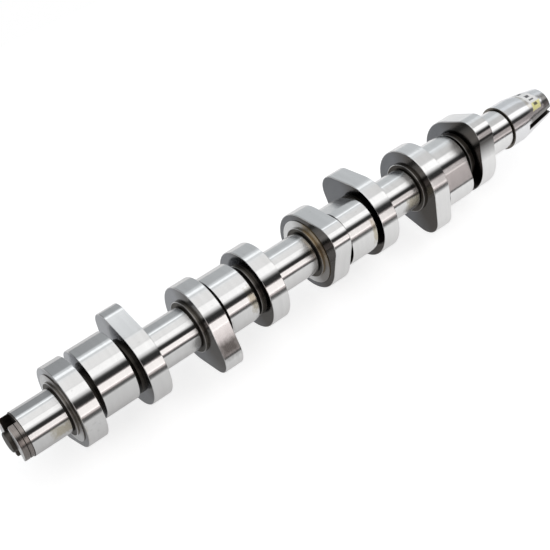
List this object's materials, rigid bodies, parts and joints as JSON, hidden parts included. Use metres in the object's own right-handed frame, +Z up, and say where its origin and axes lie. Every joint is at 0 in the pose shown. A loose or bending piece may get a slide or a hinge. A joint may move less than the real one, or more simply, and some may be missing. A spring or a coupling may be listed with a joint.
{
  "type": "camshaft",
  "caption": "Ground steel camshaft of a diesel engine, with paired valve lobes, wide pump lobes, a slotted drive end and a tapered keyed nose.",
  "frame": {"origin": "on the shaft's axis, in the middle of the centre journal", "axes": "+X along the shaft from the slotted drive end to the tapered nose, +Z up as the shaft lies on its lobes"},
  "size_m": [0.4258, 0.0656, 0.0656],
  "materials": {
    "steel": "polished"
  },
  "bodies": {
    "root": {"camshaft": "steel"}
  },
  "joints": []
}
